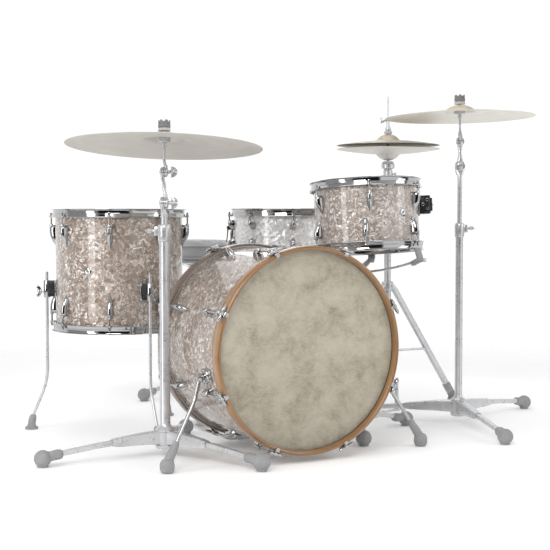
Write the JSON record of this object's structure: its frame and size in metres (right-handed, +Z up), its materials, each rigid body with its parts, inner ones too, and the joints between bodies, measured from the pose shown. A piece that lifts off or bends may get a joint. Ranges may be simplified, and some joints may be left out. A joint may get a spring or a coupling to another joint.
{
  "type": "acoustic drum kit",
  "caption": "Acoustic drum kit: bass drum with wooden hoops, floor tom, rack tom and snare on stands, hi-hat, two cymbals on flat-based stands, throne and kick pedal.",
  "frame": {"origin": "on the floor, under the centre of the kit's bounding box", "axes": "+Z up, the audience on the -Y side, the bass drum's axis along Y, +X to the audience's right"},
  "size_m": [1.8762, 1.7363, 1.1],
  "materials": {
    "black_metal": "black powder coat",
    "bright_steel": "light satin chrome",
    "bronze": "pale lathed cymbal bronze",
    "chrome": "polished chrome",
    "coated_head": "coated film, matt",
    "felt": "pressed felt",
    "fibre_head": "mottled fibre film, matt",
    "maple": "amber lacquered hoop wood",
    "pearl": "marine pearl wrap, glossy",
    "rubber": "light grey moulded rubber",
    "vinyl": "dark grey vinyl"
  },
  "bodies": {
    "root": {"bass_batter_head": "coated_head", "bass_batter_hoop": "maple", "bass_front_head": "fibre_head", "bass_front_hoop": "maple", "bass_shell": "pearl", "bass_spur_bracket_left": "chrome", "bass_spur_bracket_right": "chrome", "crash_stand_base": "bright_steel", "floor_tom_batter_head": "coated_head", "floor_tom_batter_hoop": "chrome", "floor_tom_resonant_head": "coated_head", "floor_tom_resonant_hoop": "chrome", "floor_tom_shell": "pearl", "hihat_base": "bright_steel", "kick_pedal_frame": "bright_steel", "ride_stand_base": "bright_steel", "snare_stand_base": "bright_steel", "throne_base": "bright_steel", "tom_stand_base": "bright_steel"},
    "spur_left": {"bass_spur_left": "chrome"},
    "spur_right": {"bass_spur_right": "chrome"},
    "floor_leg_1": {"floor_tom_leg_1": "chrome"},
    "floor_leg_2": {"floor_tom_leg_2": "chrome"},
    "floor_leg_3": {"floor_tom_leg_3": "chrome"},
    "tom_post": {"tom_stand_post": "bright_steel"},
    "tom_basket": {"tom_stand_basket": "bright_steel", "rack_tom_batter_head": "coated_head", "rack_tom_batter_hoop": "chrome", "rack_tom_mount": "black_metal", "rack_tom_resonant_head": "coated_head", "rack_tom_resonant_hoop": "chrome", "rack_tom_shell": "pearl"},
    "snare_post": {"snare_stand_post": "bright_steel"},
    "snare_basket": {"snare_stand_basket": "bright_steel", "snare_shell": "pearl", "snare_batter_head": "coated_head", "snare_resonant_head": "coated_head", "snare_batter_hoop": "chrome", "snare_resonant_hoop": "chrome", "snare_strainer": "chrome"},
    "throw_off": {"snare_lever": "chrome"},
    "hihat_upper": {"hihat_tube": "bright_steel", "hihat_bottom_cymbal": "bronze"},
    "hihat_pull": {"hihat_rod": "bright_steel", "hihat_top_cymbal": "bronze"},
    "hihat_pedal": {"hihat_footboard": "bright_steel"},
    "throne_column": {"throne_post": "bright_steel"},
    "throne_top": {"throne_seat": "vinyl"},
    "kick_treadle": {"kick_footboard": "bright_steel"},
    "kick_beater": {"kick_beater": "felt"},
    "ride_post": {"ride_stand_post": "bright_steel"},
    "ride_arm": {"ride_stand_arm": "bright_steel"},
    "ride_tilt": {"ride_tilter": "bright_steel", "ride_wing_nut": "rubber"},
    "ride_plate": {"ride_cymbal": "bronze"},
    "crash_post": {"crash_stand_post": "bright_steel"},
    "crash_arm": {"crash_stand_arm": "bright_steel"},
    "crash_tilt": {"crash_tilter": "bright_steel", "crash_wing_nut": "rubber"},
    "crash_plate": {"crash_cymbal": "bronze"}
  },
  "joints": [
    {"name": "spur_left_fold", "type": "hinge", "parent": "root", "child": "spur_left", "pos_m": [-0.53229, -0.69496, 0.2427], "axis": [-0.882, 0, 0.4713], "range_deg": [0, 75]},
    {"name": "spur_right_fold", "type": "hinge", "parent": "root", "child": "spur_right", "pos_m": [0.05506, -0.69496, 0.2427], "axis": [-0.882, 0, -0.4713], "range_deg": [0, 75]},
    {"name": "floor_leg_1_height", "type": "slide", "parent": "root", "child": "floor_leg_1", "axis": [0, 0, 1], "range_m": [-0.03, 0.2]},
    {"name": "floor_leg_2_height", "type": "slide", "parent": "root", "child": "floor_leg_2", "axis": [0, 0, 1], "range_m": [-0.03, 0.2]},
    {"name": "floor_leg_3_height", "type": "slide", "parent": "root", "child": "floor_leg_3", "axis": [0, 0, 1], "range_m": [-0.03, 0.2]},
    {"name": "tom_height", "type": "slide", "parent": "root", "child": "tom_post", "axis": [0, 0, 1], "range_m": [0, 0.03]},
    {"name": "tom_tilt", "type": "hinge", "parent": "tom_post", "child": "tom_basket", "pos_m": [0.11338, -0.44196, 0.475], "axis": [1, 0, 0], "range_deg": [-8, 3]},
    {"name": "snare_height", "type": "slide", "parent": "root", "child": "snare_post", "axis": [0, 0, 1], "range_m": [-0.015, 0.05]},
    {"name": "snare_tilt", "type": "hinge", "parent": "snare_post", "child": "snare_basket", "pos_m": [0.10738, -0.02496, 0.44], "axis": [1, 0, 0], "range_deg": [-12, 12]},
    {"name": "throw_off_turn", "type": "hinge", "parent": "snare_basket", "child": "throw_off", "pos_m": [-0.06555, 0.06911, 0.6455], "axis": [0.5, 0.866, 0], "range_deg": [0, 80]},
    {"name": "hihat_height", "type": "slide", "parent": "root", "child": "hihat_upper", "axis": [0, 0, 1], "range_m": [-0.06, 0.01]},
    {"name": "hihat_clutch", "type": "slide", "parent": "hihat_upper", "child": "hihat_pull", "axis": [0, 0, -1], "range_m": [0, 0.0125]},
    {"name": "hihat_treadle", "type": "hinge", "parent": "root", "child": "hihat_pedal", "pos_m": [0.427, 0.12761, 0.016], "axis": [0.9945, 0.1045, 0], "range_deg": [0, 8], "stiffness_Nm_per_rad": 6, "springref_deg": -40.11},
    {"name": "ride_height", "type": "slide", "parent": "root", "child": "ride_post", "axis": [0, 0, 1], "range_m": [-0.02, 0.25]},
    {"name": "ride_ratchet", "type": "hinge", "parent": "ride_post", "child": "ride_arm", "pos_m": [-0.55462, -0.50596, 0.721], "axis": [0.878, -0.4787, 0], "range_deg": [-12, 40]},
    {"name": "ride_tilt_turn", "type": "hinge", "parent": "ride_arm", "child": "ride_tilt", "pos_m": [-0.55462, -0.50596, 0.808], "axis": [0.878, -0.4787, 0], "range_deg": [-12, 25]},
    {"name": "ride_spin", "type": "hinge", "parent": "ride_tilt", "child": "ride_plate", "pos_m": [-0.55185, -0.50089, 0.87977], "axis": [0.0598, 0.0587, 0.9965], "continuous": true},
    {"name": "crash_height", "type": "slide", "parent": "root", "child": "crash_post", "axis": [0, 0, 1], "range_m": [-0.01, 0.25]},
    {"name": "crash_ratchet", "type": "hinge", "parent": "crash_post", "child": "crash_arm", "pos_m": [0.52938, -0.44496, 0.85], "axis": [-0.4787, -0.878, 0], "range_deg": [-20, 5]},
    {"name": "crash_tilt_turn", "type": "hinge", "parent": "crash_arm", "child": "crash_tilt", "pos_m": [0.52938, -0.44496, 0.93], "axis": [-0.4787, -0.878, 0], "range_deg": [-20, 5]},
    {"name": "crash_spin", "type": "hinge", "parent": "crash_tilt", "child": "crash_plate", "pos_m": [0.52829, -0.44437, 1.00899], "axis": [-0.0096, 0.0152, 0.9998], "continuous": true},
    {"name": "throne_height", "type": "slide", "parent": "root", "child": "throne_column", "axis": [0, 0, 1], "range_m": [-0.08, 0.12]},
    {"name": "throne_spin", "type": "hinge", "parent": "throne_column", "child": "throne_top", "pos_m": [0.04138, 0.59504, 0], "axis": [0, 0, 1], "continuous": true},
    {"name": "kick_treadle_turn", "type": "hinge", "parent": "root", "child": "kick_treadle", "pos_m": [-0.23862, -0.10996, 0.0165], "axis": [1, 0, 0], "range_deg": [0, 12], "stiffness_Nm_per_rad": 4, "springref_deg": -34.38},
    {"name": "kick_beater_throw", "type": "hinge", "parent": "root", "child": "kick_beater", "pos_m": [-0.23862, -0.35696, 0.215], "axis": [1, 0, 0], "range_deg": [0, 46]}
  ],
  "couplings": [
    {"joint": "hihat_clutch", "follows": "hihat_treadle", "m_per_rad": 0.08594},
    {"joint": "kick_beater_throw", "follows": "kick_treadle_turn", "ratio": 3.75}
  ]
}
